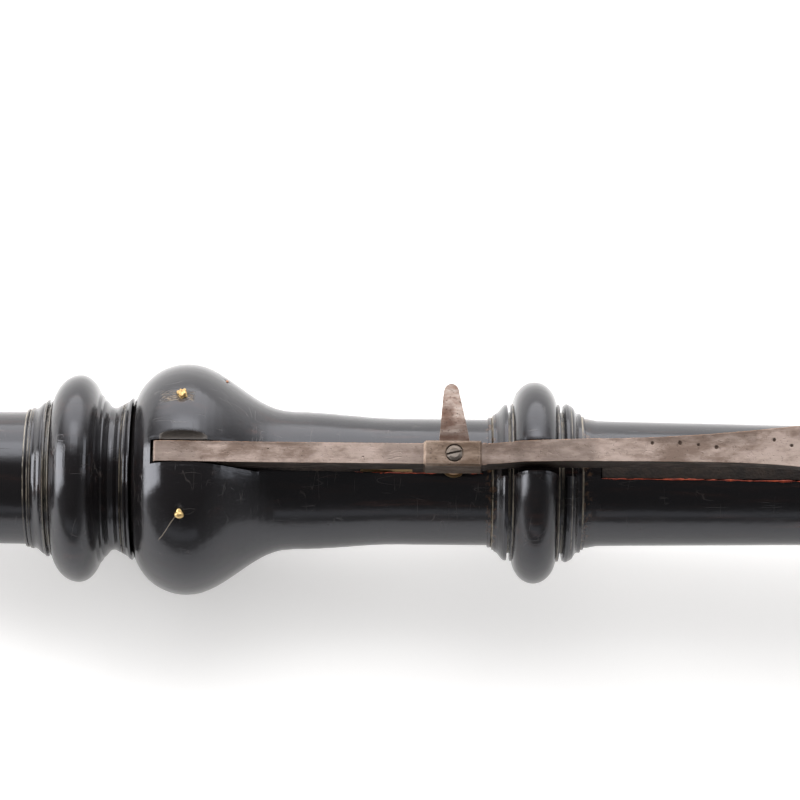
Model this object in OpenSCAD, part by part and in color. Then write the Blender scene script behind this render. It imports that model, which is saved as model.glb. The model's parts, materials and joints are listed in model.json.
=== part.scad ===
/* [Turned body] */
// Radius of the neck, between the bulb and the mid ring
neck_r = 9.86; // [9.5:0.02:10.2]
// Greatest radius of the bulb that carries the key's pivot
bulb_r = 18.05; // [17.6:0.05:18.6]
// Greatest radius of the mid ring that guides the key
ring_r = 15.76; // [15.2:0.02:16.4]
// Greatest radius of the bead on the head joint
bead_r = 16.2; // [15.5:0.1:17]
// Radius of the bell's mouth, outside
bell_r = 26.5; // [24:0.5:30]

/* [Key] */
// Width of the key's shank
shank_w = 3.2; // [2.9:0.05:3.4]
// Depth of the key's shank
shank_t = 3.5; // [2.9:0.1:3.6]
// Width of the spatula at the key's free end
spatula_w = 9.4; // [7:0.1:11]
// Width of the slot that the key lies in
slot_w = 3.75; // [3.7:0.05:4.2]
// Radius of the pivot wire
pivot_r = 0.5; // [0.4:0.05:0.55]

/* [Fits] */
// Radial gap of the parts that turn or slide
running_gap = 0.05; // [0.03:0.01:0.08]

/* [Hidden] */

// Stations along the bore, measured from the top of the head joint.
head_end = 50.6;          // where head and body meet
head_bead_x = 42.2;       // crest of the head's bead
bulb_x = 58.9;            // crest of the bulb
neck_x = 92;              // middle of the neck
ring_x = 113;             // crest of the mid ring
tube_x = 123.2;           // where the long tube starts
body_end = 250;           // shoulder that the bell butts against
bell_end = 340;           // plane of the bell's mouth
peg_x0 = 268.2;           // straight throat of the bell, from here
peg_x1 = 286;             // to here
origin_x = (peg_x0 + peg_x1) / 2;
peg_r = 7.5;              // radius of that throat

// Tenons and their thread lappings
tenon_len = 21.4;
head_tenon_r = 6.4;
head_socket_r = 7.05;
body_tenon_len = 18;
body_tenon_r = 7.4;
body_socket_r = 8.05;
lap_margin = 2.4;         // bare wood at each end of a tenon

// Bore, and the well at the top that takes the reed's staple
bore_r0 = 2.3;
bore_r1 = 5.2;
well_r = 3.5;
well_len = 16;

// Key
pivot_x = 58.65;
pivot_z = 15.3;
lever_x0 = 54.5;          // tail of the key
slot_x0 = 54.05;
slot_floor_z = 12.1;
cork_t = 0.5;             // cork under the key's tail
stop_pin_x = 64.9;        // small pin beside the key
saddle_x0 = 95.65;
saddle_x1 = 104.5;
saddle_w = 4.0;
saddle_z0 = 12.9;
saddle_top_z = 17.6;
vent_x = 100.35;           // vent, pad and clamp screw share this station
touch_w = 4.6;
touch_t = 0.95;
touch_reach = 11.8;
seat_z = 16.0;            // rebate in the key's top, under the side touch
spatula_x = 162;
lever_x1 = 173;
plate_x0 = 86;            // brass plate under the spring's tip, from here
plate_x1 = 94;            // to here
pad_r = 1.8;
wax_t = 0.12;
pad_z = 11.42;
cup_z = 12.5;
vent_r = 0.9;
bush_r = 1.9;
bush_top_z = 10.2;
screw_r = 0.65;
thread_gap = 0.01;
channel_floor_z = 8.9;
channel_top_z = 9.45;
notch_floor_z = 11.5;
notch_w = 4.9;
notch_y0 = -2.05;
top_z = 17;               // top of the shank over the neck
under_z = top_z - shank_t; // underside of the shank over the neck

smooth = 96;              // facets round a turned surface
fine = 40;                // facets round small round parts
steps = 14;               // points on each curved stretch of an outline

// Outline points are [radius, station].
function ease(x0, r0, x1, r1, n = steps) =
  [for (i = [0:n]) let (t = i / n) [r0 + (r1 - r0) * (1 - cos(180 * t)) / 2, x0 + (x1 - x0) * t]];

// Part of an ellipse about [base, cx]; angle 0 points down the bore and 90 outwards.
function swell(cx, base, half_len, height, a0, a1, n = steps) =
  [for (i = [0:n]) let (a = a0 + (a1 - a0) * i / n) [base + height * sin(a), cx + half_len * cos(a)]];

// A hollow widening outwards, as a bell's mouth does.
function flare(x0, r0, x1, r1, power, n = steps) =
  [for (i = [0:n]) let (t = i / n) [r0 + (r1 - r0) * pow(t, power), x0 + (x1 - x0) * t]];

// A body of revolution about the bore.
module turned(outline, facets = smooth) {
  rotate([0, 90, 0])
    rotate_extrude($fn = facets)
      polygon(outline);
}

// A tube about the bore.
module sleeve(x0, x1, inner, outer, facets = smooth) {
  turned([[inner, x0], [outer, x0], [outer, x1], [inner, x1]], facets);
}

// Solids cut to a side outline (station, height), centred on the key's plane.
module side_cut(outline, width) {
  rotate([90, 0, 0])
    linear_extrude(height = width, center = true)
      polygon(outline);
}

module post(x, z0, z1, r) {
  translate([x, 0, z0])
    cylinder(h = z1 - z0, r = r, $fn = fine);
}

module head_joint() {
  tenon_end = head_end + tenon_len;
  outline = concat(
    [[well_r, 0], [10.2, 0]],
    swell(3.3, 10.8, 3.0, 2.7, 168, 20),
    [[11.9, 6.4], [11.9, 7.0], [11.3, 7.0], [11.3, 7.6]],
    ease(7.6, 10.9, 15, 9.1),
    ease(17, 9.1, 29, 10.3),
    [[10.35, 34.0], [10.75, 34.05], [10.8, 34.4], [10.6, 34.5], [10.65, 34.7], [10.95, 34.75]],
    [[11.0, 35.1], [10.9, 35.2]],
    ease(35.3, 10.9, 36.9, 11.9, 8),
    [[12.2, 37.1], [12.25, 37.4], [11.2, 37.5], [11.2, 37.85], [12.1, 37.9], [12.15, 38.1]],
    swell(head_bead_x, 10.8, 4.3, bead_r - 10.8, 162, 90),
    swell(head_bead_x, 10.8, 3.6, bead_r - 10.8, 86, 28, 8),
    [[13.1, 45.6], [12.9, 45.8], [12.5, 46.0]],
    ease(46.1, 12.3, 47.4, 11.15, 6),
    ease(47.7, 11.1, 48.9, 11.6, 4),
    [[11.75, 49.0], [11.65, 49.15], [11.9, 49.3], [11.85, 49.5]],
    ease(49.55, 12.05, 50.35, 12.65, 4),
    [[12.65, 50.5], [11.5, head_end], [head_socket_r - running_gap, head_end]],
    [[head_socket_r - running_gap, head_end + lap_margin], [head_tenon_r, head_end + lap_margin]],
    [[head_tenon_r, tenon_end - lap_margin], [head_socket_r - running_gap, tenon_end - lap_margin]],
    [[head_socket_r - running_gap, tenon_end - 0.4], [head_tenon_r, tenon_end], [bore_r0, tenon_end]],
    [[bore_r0, well_len], [well_r, well_len]]
  );
  color([0.07, 0.065, 0.07])
    turned(outline);
}

module head_tenon_lapping() {
  color([0.62, 0.52, 0.36])
    sleeve(head_end + lap_margin, head_end + tenon_len - lap_margin,
           head_tenon_r, head_socket_r - running_gap);
}

module body_outline() {
  tenon_end = body_end + body_tenon_len;
  tenon_shoulder_r = body_socket_r - running_gap;
  outline = concat(
    [[head_socket_r, head_end], [11.2, head_end]],
    swell(bulb_x, 9.8, 8.4, bulb_r - 9.8, 168, 90),
    ease(bulb_x + 0.3, bulb_r - 0.01, 75.0, 10.85),
    ease(75.6, 10.78, neck_x, neck_r, 8),
    [[neck_r, 105.7], [10.2, 105.75], [10.2, 106.2], [10.0, 106.3], [10.6, 106.5], [10.6, 106.8]],
    ease(106.8, 10.8, 108.5, 12.2, 6),
    [[12.2, 108.75], [11.0, 108.8], [11.0, 109.2], [12.25, 109.25], [12.25, 109.6]],
    swell(ring_x, 11.6, 3.5, ring_r - 11.6, 168, 12, 20),
    [[12.3, 116.5], [12.3, 116.85], [11.0, 116.9], [11.0, 117.35], [12.1, 117.4]],
    swell(118.0, 11.5, 0.7, 0.9, 130, 60, 6),
    ease(118.8, 12.0, 119.7, 10.9, 6),
    [[10.9, 120.2], [10.45, 120.25], [10.45, 120.7]],
    ease(120.8, 10.15, tube_x, 9.8, 6),
    ease(154, 9.36, 238, 10.3, 10),
    [[10.3, 241.5], [10.8, 241.5], [10.8, 242.2], [10.5, 242.3], [10.5, 242.8]],
    swell(245.3, 10.6, 2.3, 2.2, 170, 10),
    [[10.5, 247.8], [10.5, 248.4], [11.0, 248.5], [11.0, body_end]],
    [[tenon_shoulder_r, body_end], [tenon_shoulder_r, body_end + lap_margin]],
    [[body_tenon_r, body_end + lap_margin], [body_tenon_r, tenon_end - lap_margin]],
    [[tenon_shoulder_r, tenon_end - lap_margin], [tenon_shoulder_r, tenon_end - 0.4]],
    [[body_tenon_r, tenon_end], [bore_r1, tenon_end]],
    [[bore_r0 + 0.3, head_end + tenon_len + 0.3], [head_socket_r, head_end + tenon_len + 0.3]]
  );
  turned(outline);
}

// Finger holes on the side away from the key: [station, radius].
finger_holes = [[136, 2.0], [156, 2.2], [176, 2.1], [199, 2.4], [218, 2.2], [235, 1.9]];

module finger_hole(x, r) {
  translate([x, 0, -14])
    cylinder(h = 14, r = r, $fn = fine);
}

module body_joint() {
  color([0.07, 0.065, 0.07])
    difference() {
      body_outline();
      // Slot across the bulb
      translate([slot_x0, -slot_w / 2, slot_floor_z])
        cube([30, slot_w, 10]);
      // Notch through the ring
      translate([105.2, notch_y0, notch_floor_z])
        cube([16.5, notch_w, 10]);
      channel(0, channel_floor_z, 12);
      slot_scoop();
      translate([pivot_x, 0, pivot_z])
        rotate([90, 0, 0])
          cylinder(h = 40, r = pivot_r, center = true, $fn = fine);
      post(vent_x, 0, 20, bush_r);
      stop_pin_shape();
      for (hole = finger_holes)
        finger_hole(hole[0], hole[1]);
    }
}

// A worn scoop in the slot's edge, beside the pivot.
module slot_scoop() {
  translate([56.4, 2.1, 18])
    rotate([0, 90, 0])
      cylinder(h = 5.4, r = 1, $fn = fine);
  for (x = [56.4, 61.8])
    translate([x, 2.1, 18])
      sphere(r = 1, $fn = fine);
}

// Shallow bed under the key: one part on the neck, a wider one on the tube.
module channel(inset, z0, z1) {
  half0 = 1.2 - inset;
  half1 = 1.75 - inset;
  translate([0, 0, z0])
    linear_extrude(height = z1 - z0)
      union() {
        polygon([[71 + inset, -half0], [105 - inset, -half0], [105 - inset, half0], [71 + inset, half0]]);
        polygon([[123 + inset, -half1], [168 - inset, -half1], [168 - inset, half1], [123 + inset, half1]]);
      }
}

module body_tenon_lapping() {
  color([0.62, 0.52, 0.36])
    sleeve(body_end + lap_margin, body_end + body_tenon_len - lap_margin,
           body_tenon_r, body_socket_r - running_gap);
}

// Leather strips that quieten the key, one in each part of the bed.
module channel_leather() {
  color([0.12, 0.09, 0.08])
    difference() {
      channel(0.25, channel_floor_z, channel_top_z - 0.1);
      post(vent_x, 0, 20, bush_r + 0.1);
      translate([plate_x0 - 0.02, -3, 0])
        cube([plate_x1 - plate_x0 + 0.04, 6, 20]);
    }
}

// Brass plate that the spring's tip slides on.
module spring_plate() {
  color([0.72, 0.6, 0.33])
    translate([plate_x0, -0.93, channel_floor_z])
      cube([plate_x1 - plate_x0, 1.86, 0.4]);
}

// Cork under the key's tail, which stops the key where it stands open.
module tail_cork() {
  color([0.5, 0.36, 0.22])
    translate([slot_x0 + 0.1, -slot_w / 2 + 0.1, slot_floor_z])
      cube([2.8, slot_w - 0.2, cork_t]);
}

// A wire pin driven into the bulb beside the slot.
module stop_pin_shape() {
  rotate([-60, 0, 0])
    post(stop_pin_x, 10, 15.9, 0.45);
}

module stop_pin() {
  color([0.7, 0.42, 0.25])
    stop_pin_shape();
}

// Red shellac that beds the leather and shows along its edges.
module bedding_wax() {
  color([0.62, 0.16, 0.1])
    difference() {
      channel(0, channel_floor_z, channel_top_z - 0.25);
      channel(0.25, 0, 20);
      post(vent_x, 0, 20, bush_r + 0.1);
    }
}

module vent_bush() {
  color([0.72, 0.6, 0.33])
    difference() {
      post(vent_x, 4.2, bush_top_z, bush_r);
      post(vent_x, 0, 20, vent_r);
    }
}

module key_pivot_pin() {
  half_len = sqrt(bulb_r * bulb_r - pivot_z * pivot_z) + 0.1;
  color([0.8, 0.65, 0.3])
    translate([pivot_x, 0, pivot_z])
      rotate([90, 0, 0])
        cylinder(h = 2 * half_len, r = pivot_r, center = true, $fn = fine);
}

// Underside of the key's tail, just clear of the cork.
tail_z = slot_floor_z + cork_t + 0.02;

// Side outline of the key, top edge first and then the underside.
function key_side() = concat(
  [[lever_x0, 14.2], [lever_x0, 16.6]],
  [for (a = [160:-35:90]) [lever_x0 + 0.7 + 0.7 * cos(a), 16.7 + 0.6 * sin(a)]],
  [[60, 17.25], [70, top_z], [vent_x - touch_w / 2, top_z]],
  [[vent_x - touch_w / 2, seat_z], [vent_x + touch_w / 2, seat_z], [vent_x + touch_w / 2, top_z]],
  [[104.6, top_z], [105, top_z + 0.05]],
  ease_side(106, top_z + 0.1, 122, 17.9, 8),
  [[135, 18.1], [150, 18.4], [160, 18.7], [168, 18.75], [lever_x1, 18.4], [lever_x1, 17.6]],
  [[168, 17.4], [160, 17.0], [148, 16.0], [130, 14.3], [118, 13.7], [106, under_z], [80, under_z]],
  [[64, 13.5], [57.4, 13.9], [57, tail_z + 0.9], [56.4, tail_z]],
  [[lever_x0 + 0.2, tail_z], [lever_x0, tail_z + 0.3]]
);

// A curved stretch of a side outline: points are [station, height].
function ease_side(x0, z0, x1, z1, n) =
  [for (p = ease(x0, z0, x1, z1, n)) [p[1], p[0]]];

// Plan of the key: an even shank that steps sideways past the saddle, then a leaf-shaped spatula.
module key_plan() {
  half = shank_w / 2;
  leaf = spatula_w / 2;
  leaf_y = 1.1;
  near = -1.15;
  far = 2.4;
  union() {
    polygon(concat(
      [[lever_x0, -half], [104.7, -half], [107, -1.5], [111, near], [122, near]],
      [for (i = [1:12]) let (t = i / 12) [122 + 40 * t, near + (leaf_y - leaf - near) * pow(t, 4.5)]],
      [for (a = [-80:10:80]) [spatula_x + (lever_x1 - spatula_x) * cos(a), leaf_y + leaf * sin(a)]],
      [for (i = [12:-1:1]) let (t = i / 12) [122 + 40 * t, far + (leaf_y + leaf - far) * pow(t, 1.7)]],
      [[122, far], [111, 2.15], [107, 1.75], [104.7, half], [lever_x0, half]]
    ));
    // Collar beside the saddle
    translate([saddle_x1 + 0.1, -half - 0.12])
      square([0.7, shank_w + 0.24]);
  }
}

module key_lever() {
  color([0.62, 0.55, 0.48])
    difference() {
      intersection() {
        side_cut(key_side(), spatula_w + 6);
        translate([0, 0, 5])
          linear_extrude(height = 20)
            key_plan();
      }
      translate([pivot_x, 0, pivot_z])
        rotate([90, 0, 0])
          cylinder(h = 10, r = pivot_r + running_gap, center = true, $fn = fine);
      post(vent_x, 5, 20, screw_r + thread_gap);
      post(67, 5, 16.42, 0.5 + thread_gap);
    }
}

spring_t = 0.35;
function spring_z(x) = under_z - 3.82 * pow(max(0, (x - 69) / 22), 1.6);

module key_spring() {
  tip_x = 91;
  color([0.7, 0.58, 0.3])
    difference() {
      side_cut(concat(
        [[64.5, under_z], [69, under_z]],
        [for (i = [1:12]) let (x = 69 + (tip_x - 69) * i / 12) [x, spring_z(x)]],
        [for (i = [12:-1:1]) let (x = 69 + (tip_x - 69) * i / 12) [x, spring_z(x) - spring_t]],
        [[69, under_z - spring_t], [64.5, under_z - spring_t]]
      ), 1.6);
      post(67, 5, 20, 0.5 + thread_gap);
    }
}

module spring_rivet() {
  color([0.55, 0.5, 0.45])
    union() {
      post(67, under_z - spring_t - 0.35, under_z - spring_t, 0.85);
      post(67, under_z - spring_t, 16.4, 0.5);
    }
}

module touch_saddle() {
  wall = (saddle_w - shank_w) / 2 - 0.02;
  color([0.6, 0.52, 0.42])
    difference() {
      hull() {
        translate([saddle_x0 + 0.35, -saddle_w / 2, saddle_z0])
          cube([saddle_x1 - saddle_x0 - 0.5, saddle_w, saddle_top_z - saddle_z0 - 0.3]);
        translate([saddle_x0, -saddle_w / 2 + 0.35, saddle_z0])
          cube([saddle_x1 - saddle_x0, saddle_w - 0.7, saddle_top_z - saddle_z0 - 0.3]);
        translate([saddle_x0 + 0.4, -saddle_w / 2 + 0.3, saddle_z0])
          cube([saddle_x1 - saddle_x0 - 0.7, saddle_w - 0.6, saddle_top_z - saddle_z0]);
      }
      translate([saddle_x0 - 1, -shank_w / 2 - 0.01, 0])
        cube([saddle_x1 - saddle_x0 + 2, shank_w + 0.02, top_z + 0.01]);
      // Window for the side touch
      translate([vent_x - touch_w / 2 - 0.02, 0, seat_z - 0.02])
        cube([touch_w + 0.04, 4, touch_t + 0.08]);
      post(vent_x, 5, 20, screw_r + thread_gap);
      post(vent_x, 17.2, 20, 1.4);
    }
}

// Side touch: a tapering tongue that curls down past the tube.
module side_touch() {
  root_y = shank_w / 2;
  function droop(y) = 0.026 * pow(max(0, y - 2.2), 2);
  ys = [-root_y, 2.2, 3.4, 4.6, 5.8, 7.0, 8.2, 9.4, 10.6, touch_reach];
  color([0.68, 0.6, 0.55])
    difference() {
      intersection() {
        rotate([90, 0, 90])
          translate([0, 0, vent_x - touch_w])
            linear_extrude(height = 2 * touch_w)
              polygon(concat(
                [for (y = ys) [y, seat_z + touch_t - droop(y)]],
                [for (i = [len(ys) - 1:-1:0]) [ys[i], seat_z - droop(ys[i]) + 0.035 * max(0, ys[i] - 2.2)]]
              ));
        translate([0, 0, 5])
          linear_extrude(height = 20)
            polygon(concat(
              [[vent_x - touch_w / 2, -root_y], [vent_x + touch_w / 2, -root_y]],
              [[vent_x + touch_w / 2, 2.2], [vent_x + 0.85, 9.6]],
              [for (a = [0:20:180]) [vent_x - 0.45 + 1.2 * cos(a), touch_reach - 1.7 + 1.7 * sin(a)]],
              [[vent_x - 1.75, 9.4], [vent_x - touch_w / 2, 2.2]]
            ));
      }
      post(vent_x, 5, 20, screw_r + thread_gap);
    }
}

// Domed clamp screw with a driver slot.
module clamp_screw() {
  color([0.5, 0.47, 0.45])
    difference() {
      union() {
        post(vent_x, 12.75, 17.3, screw_r);
        post(vent_x, 17.22, 17.6, 1.2);
        translate([vent_x, 0, 17.6])
          cylinder(h = 0.28, r1 = 1.2, r2 = 0.75, $fn = fine);
      }
      translate([vent_x, 0, 17.8])
        rotate([0, 0, 12])
          cube([4, 0.36, 0.7], center = true);
    }
}

module pad_cup() {
  color([0.62, 0.55, 0.48])
    difference() {
      union() {
        post(vent_x, cup_z, saddle_z0 - 0.04, pad_r + 0.1);
        post(vent_x, saddle_z0 - 0.05, under_z, 1.4);
      }
      post(vent_x, cup_z + 0.24, 20, screw_r + thread_gap);
    }
}

// Shellac that holds the pad in its cup.
module pad_wax() {
  color([0.6, 0.15, 0.1])
    post(vent_x, cup_z - wax_t, cup_z, pad_r - 0.05);
}

module key_pad() {
  color([0.45, 0.3, 0.2])
    post(vent_x, pad_z, cup_z - wax_t, pad_r);
}

module bell_joint() {
  outline = concat(
    [[body_socket_r, body_end], [11.6, body_end], [12.4, body_end + 0.5], [12.4, body_end + 1.3]],
    [[11.8, body_end + 1.4], [11.8, body_end + 1.9]],
    swell(257, 11.4, 4.6, 3.4, 170, 90),
    ease(257.3, 14.79, 270, 11.6),
    ease(271, 11.55, 286, 11.9, 6),
    flare(288, 12.0, 333, bell_r - 1.3, 2.1),
    [[bell_r - 1.7, 333.2], [bell_r - 1.7, 333.8]],
    swell(336.9, bell_r - 2.2, 2.9, 2.2, 168, 12),
    [[bell_r - 2, bell_end], [bell_r - 4.5, bell_end]],
    [for (i = [0:steps]) let (t = 1 - i / steps) [peg_r + (bell_r - 5 - peg_r) * pow(t, 1.9), peg_x1 + (339.6 - peg_x1) * t]],
    [[peg_r, peg_x0], [body_socket_r, peg_x0]]
  );
  color([0.07, 0.065, 0.07])
    turned(outline);
}

module placed() {
  translate([-origin_x, 0, 0])
    children();
}

placed() head_joint();
placed() head_tenon_lapping();
placed() body_joint();
placed() body_tenon_lapping();
placed() channel_leather();
placed() bedding_wax();
placed() spring_plate();
placed() vent_bush();
placed() tail_cork();
placed() stop_pin();
placed() key_pivot_pin();
placed() key_lever();
placed() key_spring();
placed() spring_rivet();
placed() touch_saddle();
placed() side_touch();
placed() clamp_screw();
placed() pad_cup();
placed() pad_wax();
placed() key_pad();
placed() bell_joint();
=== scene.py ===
import json
import math

import bmesh
import bpy
from mathutils import Matrix, Vector, noise


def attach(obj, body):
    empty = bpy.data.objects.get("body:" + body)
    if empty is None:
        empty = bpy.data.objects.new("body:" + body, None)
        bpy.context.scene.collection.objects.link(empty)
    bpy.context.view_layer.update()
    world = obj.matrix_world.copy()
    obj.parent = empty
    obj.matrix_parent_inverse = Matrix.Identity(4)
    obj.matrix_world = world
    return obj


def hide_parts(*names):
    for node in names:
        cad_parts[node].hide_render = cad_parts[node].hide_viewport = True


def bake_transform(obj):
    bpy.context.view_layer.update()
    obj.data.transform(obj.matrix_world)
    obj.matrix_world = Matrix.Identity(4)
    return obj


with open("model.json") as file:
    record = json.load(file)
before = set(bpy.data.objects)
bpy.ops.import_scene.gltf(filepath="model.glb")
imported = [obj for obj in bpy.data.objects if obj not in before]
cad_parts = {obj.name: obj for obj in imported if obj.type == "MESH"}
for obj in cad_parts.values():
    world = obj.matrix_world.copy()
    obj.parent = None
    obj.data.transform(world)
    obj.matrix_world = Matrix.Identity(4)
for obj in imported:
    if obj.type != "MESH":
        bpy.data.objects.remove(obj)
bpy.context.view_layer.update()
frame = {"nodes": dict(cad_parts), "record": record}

MM = 0.001              # one millimetre in metres
ORIGIN = 277.1          # the row's origin, in millimetres from the top of the head joint
scene = bpy.context.scene


def at(x, y=0.0, z=0.0):
    """A point in metres from its station, side and height in millimetres."""
    return Vector(((x - ORIGIN) * MM, y * MM, z * MM))


# ---------------------------------------------------------------- shader helpers
class Shader:
    """One Principled material and short calls that add nodes to it."""

    def __init__(self, name, **sockets):
        self.mat = bpy.data.materials.new(name)
        self.mat.use_nodes = True
        self.nodes = self.mat.node_tree.nodes
        self.links = self.mat.node_tree.links
        self.bsdf = next(n for n in self.nodes if n.type == "BSDF_PRINCIPLED")
        for key, value in sockets.items():
            self.bsdf.inputs[key.replace("_", " ")].default_value = value
        coords = self.nodes.new("ShaderNodeTexCoord")
        scale = self.nodes.new("ShaderNodeVectorMath")
        scale.operation = "SCALE"
        scale.inputs["Scale"].default_value = 1000.0
        self.links.new(coords.outputs["Object"], scale.inputs[0])
        self.mm = scale.outputs[0]
        self._axes = None

    def axes(self):
        """The place along X, Y and Z, in millimetres."""
        if self._axes is None:
            split = self.nodes.new("ShaderNodeSeparateXYZ")
            self.links.new(self.mm, split.inputs[0])
            self._axes = split.outputs
        return self._axes

    def math(self, op, a, b=0.0, clamp=False):
        node = self.nodes.new("ShaderNodeMath")
        node.operation = op
        node.use_clamp = clamp
        for socket, value in zip(node.inputs, (a, b)):
            self.put(socket, value)
        return node.outputs[0]

    def put(self, socket, value):
        """Links a socket's value, or sets a constant one."""
        if isinstance(value, bpy.types.NodeSocket):
            self.links.new(value, socket)
        else:
            socket.default_value = value

    def stretch(self, scale, turn=(0.0, 0.0, 0.0)):
        """Pattern coordinates, in cycles per millimetre along each axis."""
        node = self.nodes.new("ShaderNodeMapping")
        node.inputs["Scale"].default_value = scale
        node.inputs["Rotation"].default_value = turn
        self.links.new(self.mm, node.inputs[0])
        return node.outputs[0]

    def noise(self, scale, detail=4.0, rough=0.55, turn=(0.0, 0.0, 0.0)):
        """A cloudy pattern around 0.5."""
        node = self.nodes.new("ShaderNodeTexNoise")
        node.inputs["Scale"].default_value = 1.0
        node.inputs["Detail"].default_value = detail
        node.inputs["Roughness"].default_value = rough
        self.links.new(self.stretch(scale, turn), node.inputs["Vector"])
        return node.outputs["Fac"]

    def cells(self, scale):
        """How far each point is from the nearest cell's middle."""
        node = self.nodes.new("ShaderNodeTexVoronoi")
        node.inputs["Scale"].default_value = 1.0
        self.links.new(self.stretch(scale), node.inputs["Vector"])
        return node.outputs["Distance"]

    def ramp(self, value, low, high, out_low=0.0, out_high=1.0):
        """out_low up to low, out_high from high on, and smooth between them."""
        node = self.nodes.new("ShaderNodeMapRange")
        node.interpolation_type = "SMOOTHSTEP"
        node.inputs["From Min"].default_value = low
        node.inputs["From Max"].default_value = high
        node.inputs["To Min"].default_value = out_low
        node.inputs["To Max"].default_value = out_high
        self.put(node.inputs["Value"], value)
        return node.outputs["Result"]

    def mix(self, factor, a, b):
        """Colour a at factor 0 and b at 1."""
        node = self.nodes.new("ShaderNodeMix")
        node.data_type = "RGBA"
        self.put(node.inputs["Factor"], factor)
        for socket, value in ((node.inputs[6], a), (node.inputs[7], b)):
            if isinstance(value, tuple):
                socket.default_value = (*value, 1.0)
            else:
                self.links.new(value, socket)
        return node.outputs[2]

    def band(self, axis, centre, half, soft):
        """1 inside a band across one axis, fading over soft millimetres."""
        off = self.math("ABSOLUTE", self.math("SUBTRACT", axis, centre))
        return self.ramp(off, half, half + soft, 1.0, 0.0)

    def scratches(self, scale, turn, width=0.012):
        """Thin broken lines where a stretched noise crosses its middle value."""
        lines = self.math("ABSOLUTE", self.math("SUBTRACT", self.noise(scale, 1.0, 0.4, turn), 0.5))
        broken = self.ramp(self.noise((0.22, 0.22, 0.22), 2.0), 0.52, 0.62)
        return self.math("MULTIPLY", self.ramp(lines, 0.0, width, 1.0, 0.0), broken)

    def bevel(self, radius):
        """A normal that turns over edges within radius millimetres."""
        node = self.nodes.new("ShaderNodeBevel")
        node.samples = 4
        node.inputs["Radius"].default_value = radius * MM
        return node.outputs[0]

    def edges(self, radius):
        """1 on sharp edges, 0 on open faces."""
        geometry = self.nodes.new("ShaderNodeNewGeometry")
        dot = self.nodes.new("ShaderNodeVectorMath")
        dot.operation = "DOT_PRODUCT"
        self.links.new(self.bevel(radius), dot.inputs[0])
        self.links.new(geometry.outputs["Normal"], dot.inputs[1])
        return self.ramp(dot.outputs["Value"], 0.995, 0.80)

    def bump(self, height, depth, normal=None):
        """A normal for a relief that is depth millimetres deep."""
        node = self.nodes.new("ShaderNodeBump")
        node.inputs["Distance"].default_value = depth * MM
        node.inputs["Strength"].default_value = 1.0
        self.put(node.inputs["Height"], height)
        if normal is not None:
            self.links.new(normal, node.inputs["Normal"])
        return node.outputs[0]

    def most(self, *masks):
        """The largest of several masks."""
        largest = masks[0]
        for mask in masks[1:]:
            largest = self.math("MAXIMUM", largest, mask)
        return largest

    def times(self, *factors):
        """The product of several values."""
        product = factors[0]
        for factor in factors[1:]:
            product = self.math("MULTIPLY", product, factor)
        return product

    def set(self, **sockets):
        """Links or sets the shader's own sockets by name."""
        for key, value in sockets.items():
            self.put(self.bsdf.inputs[key.replace("_", " ")], value)
        return self


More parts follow.
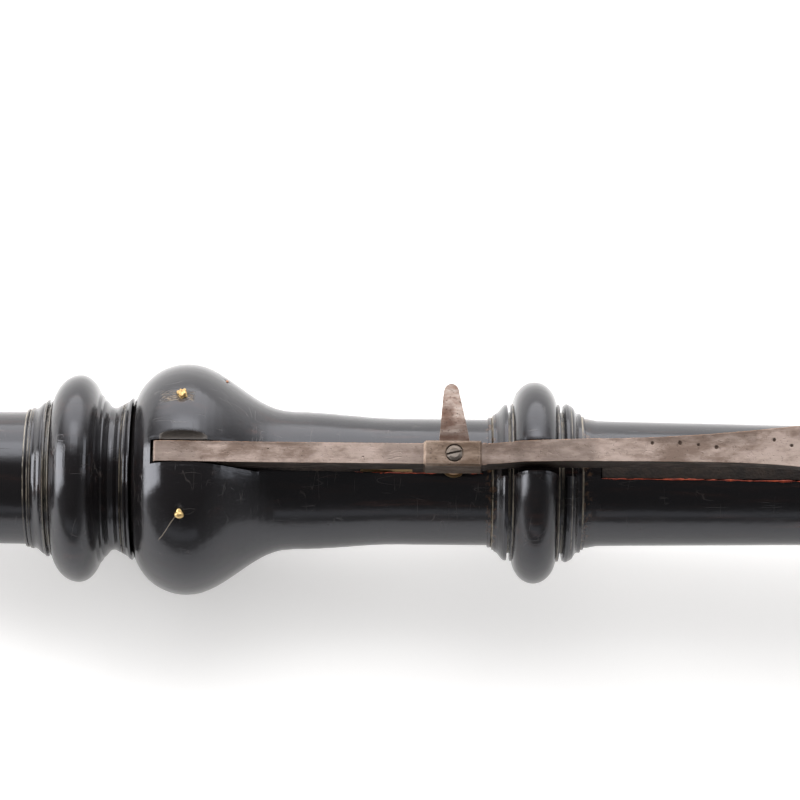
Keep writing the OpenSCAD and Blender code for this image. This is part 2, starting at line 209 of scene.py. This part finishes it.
def ebony():
    """Polished black wood: long grain, pores, dust caught in the turned lines, old scratches."""
    s = Shader("ebony", IOR=1.5, Specular_Tint=(0.90, 0.92, 1.0, 1.0))
    x, y, z = s.axes()
    streak = s.noise((0.07, 0.9, 0.9), 5.0, 0.6)
    figure = s.noise((0.012, 0.16, 0.16), 3.0)
    warm = s.times(s.ramp(streak, 0.48, 0.75), s.ramp(figure, 0.4, 0.7))
    colour = s.mix(warm, (0.0075, 0.0066, 0.0070), (0.034, 0.0165, 0.0125))
    pores = s.ramp(s.noise((0.28, 6.5, 6.5), 2.0, 0.5), 0.66, 0.76)
    # Dust and old wax along the turned lines
    station = s.math("ADD", x, ORIGIN)
    dust = None
    for line, half, amount in (
        (6.7, 0.25, 0.5), (34.15, 0.05, 0.8), (34.75, 0.05, 0.7), (35.15, 0.04, 0.35), (37.25, 0.05, 0.4),
        (37.6, 0.10, 0.6), (38.0, 0.05, 0.5), (49.05, 0.04, 0.5), (49.45, 0.04, 0.45), (106.35, 0.10, 0.75),
        (108.95, 0.16, 0.8), (109.5, 0.05, 0.6), (116.6, 0.05, 0.7), (117.15, 0.16, 0.8), (118.6, 0.04, 0.4),
        (120.3, 0.10, 0.75),
        (242.6, 0.25, 0.6), (248.4, 0.2, 0.6), (251.7, 0.25, 0.7), (333.5, 0.3, 0.6),
    ):
        one = s.times(s.band(station, line, half, 0.07), amount)
        dust = one if dust is None else s.most(dust, one)
    patchy = s.ramp(s.noise((0.9, 0.16, 0.16), 4.0, 0.75), 0.36, 0.62, 0.12, 0.9)
    dust = s.times(dust, patchy)
    colour = s.mix(dust, colour, (0.40, 0.35, 0.27))
    # Brown dirt in the deep grooves beside the ring
    dirt = s.most(s.band(station, 106.2, 0.5, 0.6), s.band(station, 120.9, 0.4, 0.6))
    dirt = s.times(dirt, s.ramp(s.noise((1.2, 1.2, 1.2), 3.0), 0.5, 0.62))
    colour = s.mix(s.times(dirt, 0.5), colour, (0.10, 0.055, 0.03))
    # Raw wood in the scoop beside the key's slot
    dy = s.math("SUBTRACT", y, 2.1)
    dz = s.math("SUBTRACT", z, 18.0)
    reach = s.math("SQRT", s.math("ADD", s.times(dy, dy), s.times(dz, dz)))
    raw = s.times(s.ramp(reach, 1.03, 1.08, 1.0, 0.0), s.band(station, 59.1, 3.5, 0.3))
    raw_tone = s.mix(s.noise((1.5, 4.0, 4.0), 5.0, 0.7), (0.006, 0.005, 0.0045), (0.085, 0.068, 0.052))
    colour = s.mix(raw, colour, raw_tone)
    # Chipped grain round the far end of the pivot wire, and a hair line at the near end
    chips = s.times(s.band(station, 57.9, 2.1, 0.8), s.band(y, 9.2, 0.7, 0.5))
    chips = s.times(chips, s.ramp(s.noise((0.9, 3.2, 3.2), 4.0, 0.7), 0.46, 0.60))
    colour = s.mix(chips, colour, (0.19, 0.15, 0.11))
    along_hair = s.math("ADD", s.times(station, 0.731), s.times(y, -0.684))
    bend = s.times(s.noise((0.35, 0.35, 0.35), 2.0), 0.5)
    hair = s.math("ABSOLUTE", s.math("SUBTRACT", s.math("ADD", along_hair, bend), 49.43))
    near_pin = s.times(s.band(station, 56.9, 1.3, 0.3), s.band(y, -11.2, 1.6, 0.3))
    hair = s.times(s.ramp(hair, 0.03, 0.09, 1.0, 0.0), near_pin)
    colour = s.mix(s.times(hair, 0.6), colour, (0.33, 0.28, 0.22))
    # Scratches, fine scuffs and handling
    fine = s.most(
        s.scratches((0.5, 0.05, 0.05), (0.4, 0.3, 0.9)),
        s.scratches((0.07, 0.5, 0.4), (0.9, 0.2, -0.5)),
    )
    rubbed = s.ramp(s.noise((0.11, 0.11, 0.11), 2.0), 0.56, 0.66)
    scuffs = s.times(s.ramp(s.noise((3.0, 1.4, 1.4), 4.0, 0.75), 0.66, 0.76), rubbed)
    marks = s.most(s.times(fine, 0.22), s.times(scuffs, 0.5))
    colour = s.mix(s.times(marks, 0.35), colour, (0.30, 0.27, 0.25))
    rough = s.ramp(s.noise((0.09, 0.14, 0.14), 4.0, 0.65), 0.3, 0.75, 0.13, 0.22)
    rough = s.math("ADD", rough, s.times(pores, 0.08))
    dull = s.most(dust, chips, raw, marks)
    rough = s.math("ADD", rough, s.times(dull, 0.45), clamp=True)
    lathe = s.noise((2.4, 0.02, 0.02), 2.0, 0.4)
    height = s.math("SUBTRACT", s.times(lathe, 0.07), s.times(pores, 0.22))
    cuts = s.math("ADD", s.times(fine, 0.25), s.times(chips, 2.5))
    height = s.math("SUBTRACT", height, cuts)
    height = s.math("ADD", height, s.times(s.noise((0.2, 0.4, 0.4), 3.0), 1.0))
    height = s.math("ADD", height, s.times(dust, 1.2))
    # The long curves run smooth; the turned lines keep their own edges
    bulb, head_bead, ring = (s.band(station, mid, half, soft) for mid, half, soft in
                             ((67.5, 15.5, 1.0), (42.2, 2.6, 0.8), (113.0, 2.6, 0.5)))
    bell = s.ramp(station, 262.0, 264.0)
    by_slot = s.times(s.band(y, 0.0, 2.2, 0.3), s.ramp(z, 5.0, 6.0))
    curves = s.times(s.most(bulb, head_bead, ring, bell), s.math("SUBTRACT", 1.0, by_slot))
    plain = s.nodes.new("ShaderNodeNewGeometry").outputs["Normal"]
    smooth = s.mix(curves, plain, s.bevel(0.9))
    s.set(Base_Color=colour, Roughness=rough, Normal=s.bump(height, 0.035, normal=smooth))
    return s.mat


def old_metal(name, tone, dark, edge_tone, spots=0.0, rough=(0.28, 0.5), pits=(), brushed=(0.2, 5.0, 5.0),
              bevel=0.12, painted_side_shade=0.0, painted_shade_bands=()):
    """Tarnished metal: uneven brown film, brighter worn edges, pits and scratches,
    with painted shade darkening the side faces and the listed bands.
    pits are (station, side, radius).
    bands of painted shade are (station, half length, side, half width, soft edge, amount)."""
    s = Shader(name, Metallic=0.8)
    x, y, _ = s.axes()
    blotches = s.times(s.noise((0.22, 0.5, 0.5), 6.0, 0.68), 0.6)
    clouds = s.times(s.noise((0.06, 0.1, 0.1), 2.0), 0.4)
    film = s.ramp(s.math("ADD", blotches, clouds), 0.40, 0.62)
    colour = s.mix(film, tone, dark)
    speck = s.ramp(s.noise((2.6, 2.6, 2.6), 3.0, 0.6), 0.60, 0.68)
    colour = s.mix(s.times(speck, spots), colour, tuple(0.35 * c for c in dark))
    station = s.math("ADD", x, ORIGIN)
    # Painted shade: darker bands at the listed stations and sides, standing for shade where a part passes
    # into a recess or under another part
    for sx, half, sy, reach, soft, amount in painted_shade_bands:
        painted_band = s.times(s.band(station, sx, half, soft), s.band(y, sy, reach, soft))
        painted_band = s.times(painted_band, s.ramp(s.noise((0.35, 0.9, 0.9), 4.0), 0.3, 0.6, 0.55, 1.0))
        colour = s.mix(s.times(painted_band, amount), colour, tuple(0.45 * c for c in dark))
    handled = s.ramp(s.noise((0.6, 0.6, 0.6), 3.0), 0.35, 0.6, 0.3, 1.0)
    worn = s.times(s.edges(bevel), handled)
    colour = s.mix(worn, colour, edge_tone)
    facing = s.nodes.new("ShaderNodeNewGeometry")
    lean = s.nodes.new("ShaderNodeSeparateXYZ")
    s.links.new(facing.outputs["True Normal"], lean.inputs[0])
    # Painted shade: faces that lean away from overhead are darkened to near black, standing for the shade on
    # the metal's sides
    if painted_side_shade:
        shaded_sides = s.ramp(lean.outputs["Z"], 0.35, 0.75, 1.0, 0.0)
        shaded_sides = s.times(shaded_sides, s.ramp(s.noise((0.3, 1.2, 1.2), 4.0), 0.3, 0.55, 0.75, 1.0))
        colour = s.mix(s.times(shaded_sides, painted_side_shade), colour, (0.020, 0.014, 0.011))
    holes = None
    for px, py, size in pits:
        dx = s.math("SUBTRACT", x, px - ORIGIN)
        dy = s.math("SUBTRACT", y, py)
        far = s.math("SQRT", s.math("ADD", s.times(dx, dx), s.times(dy, dy)))
        ragged = s.times(s.noise((3.0, 3.0, 3.0), 2.0), 0.2)
        one = s.ramp(s.math("ADD", far, ragged), size, size + 0.2, 1.0, 0.0)
        holes = one if holes is None else s.most(holes, one)
    grit = s.noise(brushed, 3.0, 0.6)
    lines = s.scratches((0.35, 1.6, 1.6), (0.0, 0.0, 0.25), 0.02)
    height = s.math("ADD", s.times(grit, 0.5), s.times(speck, -0.8))
    height = s.math("SUBTRACT", height, s.times(lines, 0.7))
    if holes is not None:
        colour = s.mix(holes, colour, (0.035, 0.022, 0.016))
        height = s.math("SUBTRACT", height, s.times(holes, 4.0))
    roughness = s.ramp(film, 0.0, 1.0, rough[0], rough[1])
    roughness = s.math("ADD", roughness, s.times(grit, 0.12))
    s.set(Base_Color=colour, Roughness=roughness, Normal=s.bump(height, 0.03, normal=s.bevel(bevel)))
    return s.mat


def soft_stuff(name, tone, light, scale, depth, rough=0.85, sheen=0.2):
    """Leather, cork or wax: blotched colour and a grain that stands up."""
    s = Shader(name, Sheen_Weight=sheen, Specular_IOR_Level=0.2)
    blotch = s.ramp(s.noise((0.5, 0.5, 0.5), 5.0, 0.65), 0.35, 0.7)
    grain = s.cells((scale, scale, scale))
    colour = s.mix(blotch, tone, light)
    colour = s.mix(s.ramp(grain, 0.0, 0.25, 0.45, 0.0), colour, tuple(0.4 * c for c in tone))
    height = s.math("ADD", grain, s.times(s.noise((scale, scale, scale), 5.0, 0.7), 0.8))
    roughness = s.ramp(blotch, 0.0, 1.0, rough - 0.12, rough)
    s.set(Base_Color=colour, Roughness=roughness, Normal=s.bump(height, depth))
    return s.mat


MATERIALS = {
    "ebony": ebony(),
    "thread": soft_stuff("waxed_thread", (0.42, 0.33, 0.20), (0.62, 0.53, 0.37), 4.0, 0.05, 0.75, 0.4),
    "leather_dark": soft_stuff(
        "bed_leather", (0.012, 0.009, 0.008), (0.030, 0.022, 0.018), 2.5, 0.06, 0.85, 0.0,
    ),
    "red_wax": soft_stuff("red_shellac", (0.16, 0.022, 0.012), (0.50, 0.085, 0.035), 1.8, 0.08, 0.5, 0.0),
    "brass": old_metal("old_brass", (0.62, 0.45, 0.20), (0.30, 0.18, 0.07), (0.80, 0.62, 0.32), 0.4),
    "cork": soft_stuff("tail_cork", (0.30, 0.18, 0.09), (0.48, 0.33, 0.19), 2.2, 0.12),
    "copper_pin": old_metal("copper_wire", (0.62, 0.30, 0.15), (0.30, 0.12, 0.06), (0.85, 0.50, 0.30), 0.3),
    "key_metal": old_metal(
        "key_metal", (0.315, 0.252, 0.222), (0.150, 0.108, 0.088), (0.44, 0.25, 0.15), 0.4, (0.36, 0.52),
        ((130.4, 1.7, 0.26), (134.6, 1.75, 0.30), (137.4, 1.45, 0.20), (140.1, 1.1, 0.30), (148.9, 2.3, 0.26),
         (151.5, 1.4, 0.24), (72.0, 0.5, 0.08), (86.5, -0.6, 0.10), (158.0, -1.2, 0.22)),
        # painted shade on the key's side faces
        painted_side_shade=0.97,
        # Painted shade: dark bands where the key lies in the bulb's slot, beside the saddle, by the ring and
        # along stretches of its edges
        painted_shade_bands=(
            (56.0, 4.0, 0.0, 3.0, 3.0, 0.50), (71.0, 9.0, 1.7, 0.3, 0.5, 0.45),
            (93.5, 3.0, 0.0, 3.0, 2.0, 0.40), (107.5, 2.0, 0.0, 3.0, 2.0, 0.45),
            (115.5, 5.0, 0.0, 3.0, 2.5, 0.62), (138.0, 8.0, 2.6, 0.6, 0.7, 0.35),
        ),
    ),
    "saddle_metal": old_metal(
        "saddle_metal", (0.235, 0.18, 0.145), (0.105, 0.07, 0.05), (0.42, 0.33, 0.25), 0.7, (0.40, 0.58),
        # painted shade on the saddle's side faces
        painted_side_shade=0.6,
    ),
    "touch_metal": old_metal(
        "touch_metal", (0.20, 0.172, 0.155), (0.105, 0.058, 0.042), (0.30, 0.25, 0.21), 0.8, (0.34, 0.50),
        brushed=(5.0, 0.3, 0.3),
        # Painted shade: dark bands near the touch's root, where it comes out from under the plate, and along
        # a narrow strip further out
        painted_shade_bands=((100.3, 3.0, 3.6, 1.0, 1.5, 0.7), (99.4, 0.4, 6.5, 1.5, 0.7, 0.5)),
    ),
    "spring_brass": old_metal(
        "spring_brass", (0.20, 0.135, 0.065), (0.07, 0.045, 0.025), (0.36, 0.26, 0.14), 0.5,
    ),
    "screw_steel": old_metal(
        "screw_steel", (0.22, 0.19, 0.17), (0.08, 0.06, 0.045), (0.44, 0.39, 0.34), 0.7, (0.36, 0.5),
        bevel=0.08,
    ),
    "pad_leather": soft_stuff("pad_leather", (0.30, 0.17, 0.09), (0.46, 0.30, 0.18), 3.0, 0.05),
}

SLOTS = {part["node"]: part["material_slot"] for part in frame["record"]["subparts"]}
for node, obj in frame["nodes"].items():
    obj.data.materials.clear()
    obj.data.materials.append(MATERIALS[SLOTS[node]])


# ---------------------------------------------------------------- detail pieces
def piece(name, data, slot, body, *nodes):
    """A shown piece that rides on a body and stands for the CAD nodes named."""
    obj = bpy.data.objects.new(name, data)
    scene.collection.objects.link(obj)
    obj.data.materials.append(MATERIALS[slot])
    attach(obj, body)
    if nodes:
        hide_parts(*nodes)
    return obj


def wire(name, path, radius, resolution):
    """A round wire along a path."""
    curve = bpy.data.curves.new(name, "CURVE")
    curve.dimensions = "3D"
    curve.bevel_depth = radius * MM
    curve.bevel_resolution = resolution
    curve.use_fill_caps = True
    spline = curve.splines.new("POLY")
    spline.points.add(len(path) - 1)
    for i, point in enumerate(path):
        spline.points[i].co = (*point, 1.0)
    return curve


def wound_thread(name, x0, x1, core, top, slot, body, node):
    """Thread wound over a tenon, turn beside turn."""
    thick = 0.30
    pitch = 0.56
    mid = top - thick
    turns = (x1 - x0 - 2 * thick) / pitch
    count = int(turns * 28)
    path = []
    for i in range(count + 1):
        angle = 2 * math.pi * turns * i / count
        x = x0 + thick + pitch * angle / (2 * math.pi)
        r = mid + 0.03 * math.sin(angle * 0.37) - 0.02
        path.append(at(x, r * math.cos(angle), r * math.sin(angle)))
    return piece(name, wire(name, path, thick, 2), slot, body, node)


wound_thread("head_tenon_thread", 53.0, 69.6, 6.4, 7.0, "thread", "head", "head_tenon_lapping")
wound_thread("body_tenon_thread", 252.4, 265.6, 7.4, 8.0, "thread", "body", "body_tenon_lapping")


def wax_bead(name, x0, x1, y, z, size):
    """An uneven bead of shellac, as squeezed out and left."""
    mesh = bpy.data.meshes.new(name)
    bm = bmesh.new()
    steps = int((x1 - x0) * 4)
    shaded_sides = 8
    rings = []
    for i in range(steps + 1):
        x = x0 + (x1 - x0) * i / steps
        lump = noise.noise(Vector((x * 0.55, y * 3.0, 1.7))) + 0.5 * noise.noise(Vector((x * 1.9, y, 4.0)))
        end = min(1.0, min(i, steps - i) / 3.0)
        r = size * max(0.08, 0.55 + 0.75 * lump) * (0.2 + 0.8 * end)
        drift = 0.10 * noise.noise(Vector((x * 0.8, 9.0, y)))
        ring = []
        for k in range(shaded_sides):
            a = 2 * math.pi * k / shaded_sides
            rough = 1.0 + 0.25 * noise.noise(Vector((x * 2.5, math.cos(a), math.sin(a))))
            side = y + drift + r * 1.15 * rough * math.cos(a)
            ring.append(bm.verts.new(at(x, side, z + r * rough * math.sin(a))))
        rings.append(ring)
    for one, two in zip(rings, rings[1:]):
        for k in range(shaded_sides):
            bm.faces.new((one[k], one[(k + 1) % shaded_sides], two[(k + 1) % shaded_sides], two[k]))
    bm.faces.new(rings[0][::-1])
    bm.faces.new(rings[-1])
    for face in bm.faces:
        face.smooth = True
    bm.normal_update()
    bm.to_mesh(mesh)
    bm.free()
    return mesh


def joined(name, meshes):
    """Several meshes as one."""
    bm = bmesh.new()
    for mesh in meshes:
        bm.from_mesh(mesh)
    out = bpy.data.meshes.new(name)
    bmesh.ops.recalc_face_normals(bm, faces=bm.faces)
    bm.to_mesh(out)
    bm.free()
    return out


def tube_radius(x):
    """The body's radius along the key's bed."""
    if x < 110:
        return 9.86
    return 9.8 - 0.44 * (1 - math.cos(math.pi * (x - 123.2) / 31)) / 2 if x < 154 else 9.37


beads = []
for side in (-1, 1):
    for x0, x1, half, size in ((78.0, 97.9, 1.2, 0.12), (102.8, 104.9, 1.2, 0.12), (123.1, 139.0, 1.75, 0.15),
                               (139.0, 153.0, 1.75, 0.17), (153.0, 167.9, 1.75, 0.15)):
        height = math.sqrt(tube_radius((x0 + x1) / 2) ** 2 - half ** 2)
        beads.append(wax_bead("bead", x0, x1, side * half, height - 0.02, size))
piece("wax_beads", joined("wax_beads", beads), "red_wax", "body", "bedding_wax")


def blob(name, centre, radii, bumps, slot, body, turn=(0, 0, 0)):
    """A hammered or bent lump of metal."""
    mesh = bpy.data.meshes.new(name)
    bm = bmesh.new()
    bmesh.ops.create_icosphere(bm, subdivisions=4, radius=1.0)
    for v in bm.verts:
        swell = 1.0 + bumps * noise.noise(v.co * 1.7 + Vector((3.1, centre[0], 0)))
        v.co = Vector((v.co.x * radii[0], v.co.y * radii[1], v.co.z * radii[2])) * swell
    rotate = Matrix.Rotation(turn[0], 4, "X") @ Matrix.Rotation(turn[2], 4, "Z")
    for v in bm.verts:
        v.co = at(*centre) + (rotate @ v.co) * MM
    for face in bm.faces:
        face.smooth = True
    bm.to_mesh(mesh)
    bm.free()
    return piece(name, mesh, slot, body)


BULB_R = 18.05
PIN_X = 58.65
PIN_Z = 15.3
PIN_Y = math.sqrt(BULB_R ** 2 - PIN_Z ** 2)
blob("pin_end_front", (PIN_X, -PIN_Y, PIN_Z), (0.74, 0.55, 0.66), 0.06, "brass", "body")
blob("pin_end_back", (PIN_X, PIN_Y - 0.1, PIN_Z + 0.05), (0.75, 0.95, 0.6), 0.55, "brass", "body",
     (-0.5, 0, 0.2))

# A copy of the spring is shown in the CAD spring's place, and the CAD spring is hidden
leaf = bpy.data.objects.new("spring_leaf", frame["nodes"]["key_spring"].data.copy())
scene.collection.objects.link(leaf)
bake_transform(leaf)
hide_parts("key_spring")


# ---------------------------------------------------------------- floor, light, camera
# The object rests on its bulb and on the bell's rim, each (station, radius)
BULB = (58.9, BULB_R)
BELL = (338.0, 26.55)
GAP = 0.05
FLOOR_HALF = 3          # metres
slope = (BELL[1] - BULB[1]) / (BELL[0] - BULB[0])
floor_mesh = bpy.data.meshes.new("floor")
bm = bmesh.new()
for sx, sy in ((-1, -1), (1, -1), (1, 1), (-1, 1)):
    drop = BULB[1] + slope * (sx * FLOOR_HALF / MM + ORIGIN - BULB[0]) + GAP
    bm.verts.new((sx * FLOOR_HALF, sy * FLOOR_HALF, -drop * MM))
bm.faces.new(list(bm.verts))
bm.to_mesh(floor_mesh)
bm.free()
floor = bpy.data.objects.new("floor", floor_mesh)
scene.collection.objects.link(floor)
PAPER_GLOW = (1.0, 0.985, 0.975, 1.0)
paper = Shader("pale_floor", Roughness=0.65, Emission_Color=PAPER_GLOW, Emission_Strength=0.37)
cloudy = paper.noise((0.02, 0.02, 0.02), 4.0)
paper.set(Base_Color=paper.mix(cloudy, (0.86, 0.855, 0.85), (0.90, 0.895, 0.89)))
floor.data.materials.append(paper.mat)

world = bpy.data.worlds.new("studio")
scene.world = world
world.use_nodes = True
sky = world.node_tree.nodes
wire_up = world.node_tree.links
coords = sky.new("ShaderNodeTexCoord")
split = sky.new("ShaderNodeSeparateXYZ")
wire_up.new(coords.outputs["Generated"], split.inputs[0])
# The sky is brighter at the horizon than overhead
fade = sky.new("ShaderNodeMapRange")
fade.inputs["From Min"].default_value = 0.05
fade.inputs["From Max"].default_value = 0.60
fade.inputs["To Min"].default_value = 0.45
fade.inputs["To Max"].default_value = 0.15
wire_up.new(split.outputs["Z"], fade.inputs["Value"])
back = next(n for n in sky if n.type == "BACKGROUND")
back.inputs["Color"].default_value = (1.0, 0.99, 0.985, 1.0)
# A wide bright wall of light low behind the object, with no edge that could show in the polish
WALL = (0.0, 0.92, 0.39)
lobe = sky.new("ShaderNodeVectorMath")
lobe.operation = "DOT_PRODUCT"
lobe.inputs[1].default_value = WALL
wire_up.new(coords.outputs["Generated"], lobe.inputs[0])
glow = sky.new("ShaderNodeMapRange")
glow.interpolation_type = "SMOOTHSTEP"
glow.inputs["From Min"].default_value = 0.50
glow.inputs["From Max"].default_value = 0.96
glow.inputs["To Min"].default_value = 0.0
glow.inputs["To Max"].default_value = 4.2
wire_up.new(lobe.outputs["Value"], glow.inputs["Value"])
total = sky.new("ShaderNodeMath")
wire_up.new(fade.outputs[0], total.inputs[0])
wire_up.new(glow.outputs[0], total.inputs[1])
wire_up.new(total.outputs[0], back.inputs["Strength"])

LOOK = at(92, 0, 0)


def softbox(name, direction, distance, size, power, tint=(1.0, 1.0, 1.0)):
    """An area lamp that faces the middle of the view."""
    data = bpy.data.lights.new(name, "AREA")
    data.shape = "RECTANGLE"
    data.size, data.size_y = size
    data.energy = power
    data.color = tint
    lamp = bpy.data.objects.new(name, data)
    scene.collection.objects.link(lamp)
    lamp.location = LOOK + Vector(direction).normalized() * distance
    lamp.rotation_euler = (LOOK - lamp.location).to_track_quat("-Z", "Y").to_euler()


softbox("key_back", (0.0, 0.60, 0.80), 1.1, (0.9, 0.5), 3.0)
softbox("left", (-0.95, 0.06, 0.33), 0.6, (0.34, 0.40), 3.6)
softbox("right", (0.92, 0.22, 0.30), 0.62, (0.34, 0.30), 0.9, (0.95, 0.97, 1.0))
softbox("front", (-0.1, -0.90, 0.30), 1.2, (1.4, 0.25), 0.6, (0.93, 0.96, 1.0))

TILT = math.radians(15.8)       # how far the camera leans from overhead towards -Y
ROLL = math.radians(0.57)
AWAY = 0.6                      # metres from the point it looks at
SHIFT = 0.01273                 # metres that the object sits below the middle of the picture
up = Vector((0, math.cos(TILT), math.sin(TILT)))
out = Vector((0, -math.sin(TILT), math.cos(TILT)))
along = Vector((1, 0, 0))
cam_up = up * math.cos(ROLL) - along * math.sin(ROLL)
cam_right = along * math.cos(ROLL) + up * math.sin(ROLL)
camera_data = bpy.data.cameras.new("camera")
camera_data.sensor_width = 36.0
camera_data.lens = 172.8
camera_data.clip_start = 0.01
camera_data.clip_end = 20.0
camera = bpy.data.objects.new("camera", camera_data)
scene.collection.objects.link(camera)
turn = Matrix((cam_right, cam_up, out)).transposed().to_4x4()
camera.matrix_world = Matrix.Translation(LOOK + up * SHIFT + out * AWAY) @ turn
scene.camera = camera
scene.view_settings.view_transform = "Standard"
